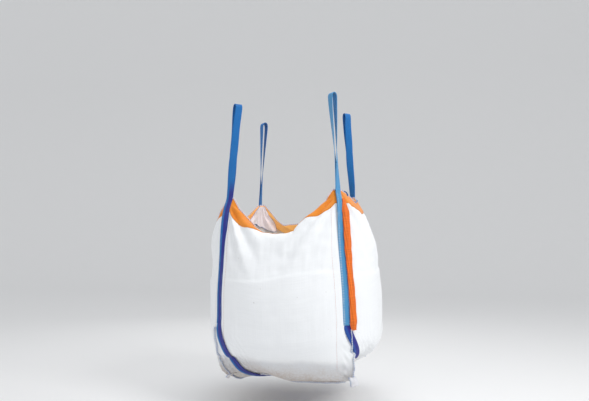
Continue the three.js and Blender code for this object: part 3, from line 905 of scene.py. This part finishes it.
def make_ear_patches():
    for corner, name in enumerate(CORNERS):
        v = np.linspace(0, 1, 46)[:, None]
        u = np.linspace(-1, 1, 61)[None, :]
        station = mix(10.7, TOP - 0.02, v + 0.22 * (1 - v) * (u ** 2 - 0.3))
        half = mix(0.135, 0.045, v ** 2.5)
        turn = corner + (u - 0.35 * (1 - v) * (corner == 3)) * half
        gathers = 0.0042 * np.cos(u * math.pi * 4.5 + 0.6 * corner) * bell(v - 0.42, 0.42)
        gathers = gathers + 0.0012 * np.sin(u * 31 + v * 5)
        depth = -(CLOTH + 2 * LAYER_GAP + BAND_CLOTH) - 0.0062 + gathers
        near, far = skin(turn, station, depth), skin(turn, station, depth - 0.0012)
        piece = sheet_object(f"ear_patch_{name}_cloth", near, far)
        finish_piece(piece, patch_cloth, replaces=[f"ear_patch_{name}"])
        edges = []
        for edge in (far[:, 0], far[:, -1], far[0]):
            path = resample(edge, 0.004)
            outward = unit(edge[len(edge) // 2] - far[len(far) // 2, 30])
            edges.append(overlock(path - outward * 0.004, np.tile(outward, (len(path), 1)), 0.008,
                                  EDGE_THICKNESS, 0.012))
        sew(f"ear_patch_{name}_thread", edges)


# ---- seams and stitches ----

def make_seams():
    for corner, name in enumerate(CORNERS):
        station = np.linspace(BASE_SEAM[1] + 0.05, SLING_START - 0.2, 90)
        turn = np.full(90, corner + 0.0005)
        out = normals(turn, station)
        wave = 0.0016 * np.sin(station * 17)[:, None] * np.cross(out, (0, 0, 1.0))
        standing_edge(f"corner_seam_{name}", skin(turn, station), out, 0.015, 0.013, wave)

    for side, name in enumerate(SIDES):
        turn = np.linspace(side + SLING_SHIFT[side] + 0.06, side + 0.985, 170)
        station = base_seam(turn)
        out = normals(turn, station)
        standing_edge(f"base_seam_{name}", skin(turn, station), out, 0.01, 0.014)

    # the lock stitches that join the panels, beside each corner
    station = np.linspace(4.6, 11.9, 260)
    for side, name in enumerate(SIDES):
        width = 2 * corner_lines[side](station)[:, 0]
        rows = []
        for edge, inset in ((0, 0.04), (1, -0.062)):
            turn = strap_turn(side + edge, station) + inset / width
            rows += dashes(skin(turn, station, 0.0006))
        sew(f"panel_{name}_stitches", rows, 0.0008, 4, pink_thread)


TAIL_DROP = [0.02, 0.05, 0.024, 0.03]
TAIL_WIDTH = [0.026, 0.05, 0.03, 0.03]
TAIL_RISE = [0.05, 0.45, 0.05, 0.05]  # stations above the base seam


def make_tails():
    """The folded ends of the seams, left hanging under each base corner."""
    for corner, name in enumerate(CORNERS):
        out, along = corner_axes(corner)
        top = skin(corner, BASE_SEAM[1] + TAIL_RISE[corner], 0.003)
        share = np.linspace(0, 1, 24)[:, None]
        path = top - share * (0, 0, TAIL_DROP[corner])
        path = path + out * (0.034 * share + 0.006 * np.sin(share * 5))
        turned = np.radians(10 + 28 * share * (1 if corner % 2 else -1))
        side = along * np.cos(turned) + out * np.sin(turned)
        tail = ribbon_object(f"corner_tail_{name}_fold", path, side, TAIL_WIDTH[corner], 0.0045,
                             drop=0.006 * np.sin(share[:, 0] * 3), columns=10)
        finish_piece(tail, seam_cloth, replaces=[f"corner_tail_{name}"])
        edge = path - unit(side) * (TAIL_WIDTH[corner] / 2 - 0.001)
        winding = overlock(edge + side * 0.006, -side, 0.009, 0.0032, 0.01)
        sew(f"corner_tail_{name}_thread", [winding])


# ---- webbing ----

def corner_axes(corner):
    """The level directions out of the bag at a corner, and along its strap's face."""
    angle = math.radians(-135 + 90 * corner)
    x, y = math.cos(angle), math.sin(angle)
    return np.array([x, y, 0.0]), np.array([-y, x, 0.0])


def across_cloth(turn, station):
    """Level direction along the cloth."""
    return unit(wall(turn + 0.012, station)[0] - wall(turn - 0.012, station)[0])


def edge_drop(turn, station):
    """How far the cloth falls back under the edges of webbing centred on a turn."""
    width = 4 * loose_wall(np.round(turn), station)[0]
    step = WEBBING_WIDTH / (width[..., 0] ** 2 + width[..., 1] ** 2) ** 0.5 * math.sqrt(0.5)
    edges = (wall(turn - step, station)[0] + wall(turn + step, station)[0]) / 2
    fall = np.sum((wall(turn, station)[0] - edges) * normals(turn, station), axis=-1)
    return np.clip(fall, 0, 0.009)


DROP_STATIONS = np.linspace(6.0, 11.95, 60)


def smooth_path(points, passes):
    for _ in range(passes):
        points[1:-1] = 0.25 * points[:-2] + 0.5 * points[1:-1] + 0.25 * points[2:]
    return points


STRAP_GAP = LAYER_GAP + BAND_CLOTH + 0.0008  # from the cloth to the back of a strap
EAR_TURN = [28, 20, 0, 36]  # degrees that each loop has turned already at its ear


def make_strap_and_loop(corner, name):
    """A corner strap and the loop that it becomes, in two layers of webbing sewn together."""
    joint = next(j for j in frame["joints"] if j["name"] == f"loop_{name}_fold")
    pivot = np.array(joint["pos_m"])
    out, along = corner_axes(corner)
    inner_lift = STRAP_GAP + WEBBING_THICKNESS / 2
    outer_lift = inner_lift + WEBBING_THICKNESS + 0.0004
    crown = out * LOOP_SQUARE * math.sqrt(2)
    crown[2] = -LOOP_HALF_GAP + LEAN * crown[0]
    foot = pivot + out * (inner_lift + outer_lift) / 2
    foot = foot - out * (pivot - skin(corner, TOP)) @ out
    start_angle = math.radians(EAR_TURN[corner])

    def strap(station, lift):
        turn = strap_turn(corner, station)
        angle = (start_angle * ease((station - 8.5) / 3.5))[:, None]
        level, facing = across_cloth(turn, station), normals(turn, station)
        return skin(turn, station, lift), level * np.cos(angle) - facing * np.sin(angle)

    def leg(share, hand):
        angle = mix(start_angle, math.pi / 2, share ** 0.8)
        apart = hand * mix((outer_lift - inner_lift) / 2, LOOP_HALF_GAP, share ** 1.3)
        away = out * np.cos(angle) + along * np.sin(angle)
        return mix(foot, crown, share) + away * apart, along * np.cos(angle) - out * np.sin(angle)

    bight = np.linspace(0, math.pi, 22)[1:-1, None]
    over = crown + LOOP_HALF_GAP * (along * np.cos(bight) + (0, 0, 1.0) * np.sin(bight))
    rising, falling = (np.linspace(low, TOP, int((TOP - low) * 24) + 2)
                       for low in (SLING_START - 0.05, 10.7))
    parts = [strap(rising, mix(inner_lift, outer_lift, ease((rising - 10.2) / 0.5))),
             leg(np.linspace(0, 1, 60)[:, None], 1), (over, np.tile(-out, (len(over), 1))),
             leg(np.linspace(1, 0, 60)[:, None], -1), strap(falling[::-1], inner_lift)]
    centres, across = (np.concatenate(part) for part in zip(*parts))

    run = lengths(centres)
    at = np.linspace(0, run[-1], int(run[-1] / 0.008))
    centres, across = points_at(centres, run, at), unit(points_at(across, run, at))
    centres, across = smooth_path(centres, 8), unit(smooth_path(across, 20))

    # on the rounded corner the edges of the webbing lie back against the cloth
    below = ease((foot[2] - centres[:, 2]) / 0.05)
    wave = 0.0012 * np.sin(at * 23 + corner) * (1 - below)
    fall = np.interp(centres[:, 2], hang(wall(corner, DROP_STATIONS)[0])[:, 2],
                     edge_drop(strap_turn(corner, DROP_STATIONS), DROP_STATIONS))
    piece = ribbon_object(f"strap_and_loop_{name}", centres + across * wave[:, None], across,
                          WEBBING_WIDTH, WEBBING_THICKNESS, drop=fall * below)
    finish_piece(piece, webbings[corner], body=None,
                 replaces=[f"corner_strap_{name}", f"loop_{name}"])
    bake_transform(piece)

    # the zigzag seams that hold the strap to the corner
    sewn = (at < run[-1] / 2) & (centres[:, 2] < pivot[2] - 0.03)
    front, side = centres[sewn], across[sewn]
    face = unit(np.cross(np.gradient(front, axis=0), side))
    face *= np.sign(np.sum(face * out, axis=-1, keepdims=True))
    rows = []
    for place in (-0.017, 0.017):
        lift = WEBBING_THICKNESS / 2 + 0.0004
        lift = lift - fall[:len(front)][:, None] * (place / 0.025) ** 2
        rows.append(zigzag(front + side * place + face * lift, side, 0.009, 0.014))
    material = white_thread if corner == 1 else blue_thread
    sew(f"strap_{name}_seams", rows, THREAD * 0.9, material=material)


def make_sling(first, name, extra):
    """Webbing from one corner strap, under the middle of the base, to the opposite strap."""
    def halfway(corner, hand):
        station = np.linspace(SLING_START + 0.35, 0.0, 110)
        turn = sling_turn(corner, station)
        inner = np.maximum(station, 0.4)
        side = across_cloth(turn, inner)
        lift = mix(STRAP_GAP, 0.0075, ease((SLING_START - station) / 1.0)) + WEBBING_THICKNESS / 2
        lift = lift - 0.003 * ease((station - SLING_START + 0.25) / 0.2)
        lift = lift + extra * bell(station, 1.2)
        lift = np.maximum(lift, 0.0002)
        point = hang(wall(turn, np.maximum(station, 0.01))[0]
                     + normals(turn, np.maximum(station, 0.05)) * lift[:, None])
        return point, side * hand, edge_drop(turn, inner) * ease((station - 5.0) / 1.1)
    halves = zip(halfway(first, 1), halfway(first + 2, -1))
    centres, across, drop = (np.concatenate([one, other[-2::-1]]) for one, other in halves)
    piece = ribbon_object(f"{name}_webbing", smooth_path(centres, 5), unit(smooth_path(across, 40)),
                          WEBBING_WIDTH, WEBBING_THICKNESS, drop=drop)
    finish_piece(piece, sling_webbings[first], replaces=[name])


def make_tie(corner, name, hand):
    """A short tape that hangs from an ear, beside the loop."""
    low, high = (np.array(c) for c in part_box(name))
    out, along = corner_axes(corner)
    along = along * hand
    middle = (low + high) / 2
    reach = abs((high - low) @ np.abs(along)) / 2
    share = np.linspace(0, 1, 40)[:, None]
    root = middle - along * reach * 0.45
    root[2] = high[2] - 0.004
    path = root + along * (0.03 * share) + out * (0.01 * np.sin(share * 3.0) - 0.004)
    path = path - share ** 1.4 * (0, 0, high[2] - low[2] - 0.006)
    side = out * np.cos(share * 1.2) + np.sin(share * 1.2) * (0, 0, 1.0)
    tie = ribbon_object(f"{name}_tape", path, side, 0.009, 0.002, columns=6)
    finish_piece(tie, webbings[2], replaces=[name])


def make_hanging_strip():
    """A limp band of dyed cloth, bunched and twisted, beside the front right strap."""
    station = np.linspace(11.35, 6.45, 220)
    turn = strap_turn(1, station) + 0.0555
    out, along = corner_axes(1)
    centre = hang(wall(turn, station)[0] + out * 0.0165)
    travelled = lengths(centre)
    centre = centre + along * (0.0022 * np.sin(travelled * 11))[:, None]
    angles = np.linspace(0, 2 * math.pi, 64, endpoint=False)
    twist = travelled[:, None] * STRIP_TWIST
    fold = 1 + 0.17 * np.cos(7 * angles + twist) + 0.08 * np.cos(4 * angles - twist * 0.6 + 1)
    end = 1 - 0.3 * ease((travelled - travelled[-1] + 0.05) / 0.05)[:, None]
    end = end * mix(0.45, 1, ease(travelled / 0.1))[:, None]
    wide = 0.0215 * (1 + 0.1 * np.sin(travelled * 9))[:, None]
    x = wide * np.cos(angles) * fold * end
    y = 0.008 * np.sin(angles) * fold * end
    forward = unit(np.gradient(centre, axis=0))
    side = unit(along - forward * (forward @ along)[:, None])
    face = np.cross(side, forward)
    face *= np.sign(face @ out)[:, None]
    points = centre[:, None] + side[:, None] * x[..., None] + face[:, None] * y[..., None]
    uvs = np.stack(np.broadcast_arrays(angles * 0.02, travelled[:, None]), axis=-1)
    piece = new_object("hanging_strip_cloth", points, swept_faces(*points.shape[:2]), uvs)
    finish_piece(piece, strip_cloth, body="hanging_strip_body",
                 replaces=["hanging_strip"])


# ---- contents ----

def make_load():
    turn, ring = square_grid(181)
    below = skin(turn, np.maximum(ring * (FILL_STATION - 0.1), 0.02), -0.014)
    edge = skin(turn, np.full(turn.shape, FILL_STATION), -0.012)
    heap = edge * ring[..., None]
    heap[..., 2] = mix(FILL_HEIGHT + HEAP_RISE, edge[..., 2], ring ** 2)
    rough = 0.016 * ripple(heap, 0.3, 21) + 0.006 * ripple(heap, 0.09, 22)
    rough += 0.003 * ripple(heap, 0.03, 23)
    heap[..., 2] += rough * (1 - 0.8 * ring ** 6)
    piece = sheet_object("load_heap", below[:, ::-1], heap[:, ::-1])
    finish_piece(piece, contents, replaces=["load"])

    rng = np.random.RandomState(5)
    stone = np.array([(0, 0, 1), (0.9, 0, 0.2), (0.3, 0.85, 0.2), (-0.75, 0.5, 0.2),
                      (-0.75, -0.5, 0.2), (0.3, -0.85, 0.2), (0.5, 0.5, -0.6), (-0.6, 0, -0.7),
                      (0.5, -0.5, -0.6)])
    hull = [(0, 1, 2), (0, 2, 3), (0, 3, 4), (0, 4, 5), (0, 5, 1), (1, 6, 2), (2, 6, 3), (3, 6, 7),
            (3, 7, 4), (4, 7, 8), (4, 8, 5), (5, 8, 1), (1, 8, 6), (6, 8, 7)]
    points, faces = [], []
    for number in range(STONES):
        i, j = rng.randint(12, 169, 2)
        size = rng.uniform(0.004, 0.011)
        spin = rng.uniform(0, 2 * math.pi)
        x, y = math.cos(spin), math.sin(spin)
        turned = np.array([(x, -y, 0), (y, x, 0), (0, 0, 0.7)])
        shape = (stone * rng.uniform(0.75, 1.2, stone.shape)) @ turned.T * size
        points.append(heap[i, j] + shape + (0, 0, size * 0.15))
        faces += [tuple(number * len(stone) + k for k in face) for face in hull]
    stones = new_object("load_stones", np.concatenate(points), faces, smooth=False)
    finish_piece(stones, contents)


make_stage()
make_panels()
make_base()
make_bands()
make_ear_patches()
make_seams()
make_tails()
for corner, name in enumerate(CORNERS):
    make_strap_and_loop(corner, name)
make_sling(0, "base_sling_upper", 0.0)
make_sling(1, "base_sling_lower", WEBBING_THICKNESS + 0.0012)
make_tie(1, "tie_front_right", 1)
make_tie(3, "tie_back_left", -1)
make_hanging_strip()
make_load()
